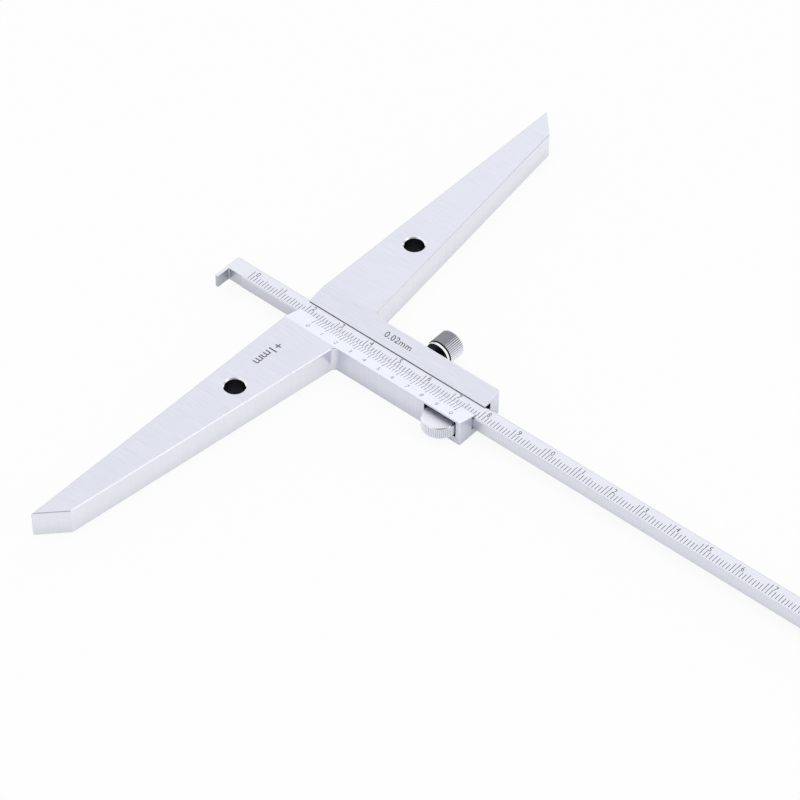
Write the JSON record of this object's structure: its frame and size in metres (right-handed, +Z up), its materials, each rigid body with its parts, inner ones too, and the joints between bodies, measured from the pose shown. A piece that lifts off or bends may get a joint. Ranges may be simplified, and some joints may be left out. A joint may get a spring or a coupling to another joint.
{
  "type": "hook depth gauge",
  "caption": "Vernier depth gauge with a hooked beam sliding in a long tapered base, with a lock screw and a thumb wheel.",
  "frame": {"origin": "on the underside, on the beam's centre line, midway between the two holes of the base", "axes": "+X along the base, +Y along the beam towards the hook, +Z up out of the graduated faces"},
  "size_m": [0.204, 0.2715, 0.008],
  "materials": {
    "ground_steel": "satin ground",
    "knurled_steel": "bright turned and knurled",
    "spring_steel": "rolled",
    "screw_steel": "turned"
  },
  "bodies": {
    "base": {"frame": "ground_steel", "gib_spring": "spring_steel", "wheel_axle": "screw_steel", "axle_plate": "spring_steel", "plate_screws": "screw_steel"},
    "rule": {"beam": "ground_steel", "stop_screw": "screw_steel"},
    "lock": {"lock_screw": "knurled_steel"},
    "wheel": {"thumb_wheel": "knurled_steel"}
  },
  "joints": [
    {"name": "beam_slide", "type": "slide", "parent": "base", "child": "rule", "axis": [0, 1, 0], "range_m": [-0.0249, 0.1784]},
    {"name": "wheel_spin", "type": "hinge", "parent": "base", "child": "wheel", "pos_m": [-0.00775, -0.0456, 0.004], "axis": [0, 0, 1], "range_deg": [-300, 2100]},
    {"name": "lock_turn", "type": "hinge", "parent": "base", "child": "lock", "pos_m": [0.008, -0.0296, 0.0041], "axis": [1, 0, 0], "range_deg": [-20, 340]}
  ],
  "couplings": [
    {"joint": "wheel_spin", "follows": "beam_slide", "rad_per_m": 204.08}
  ]
}
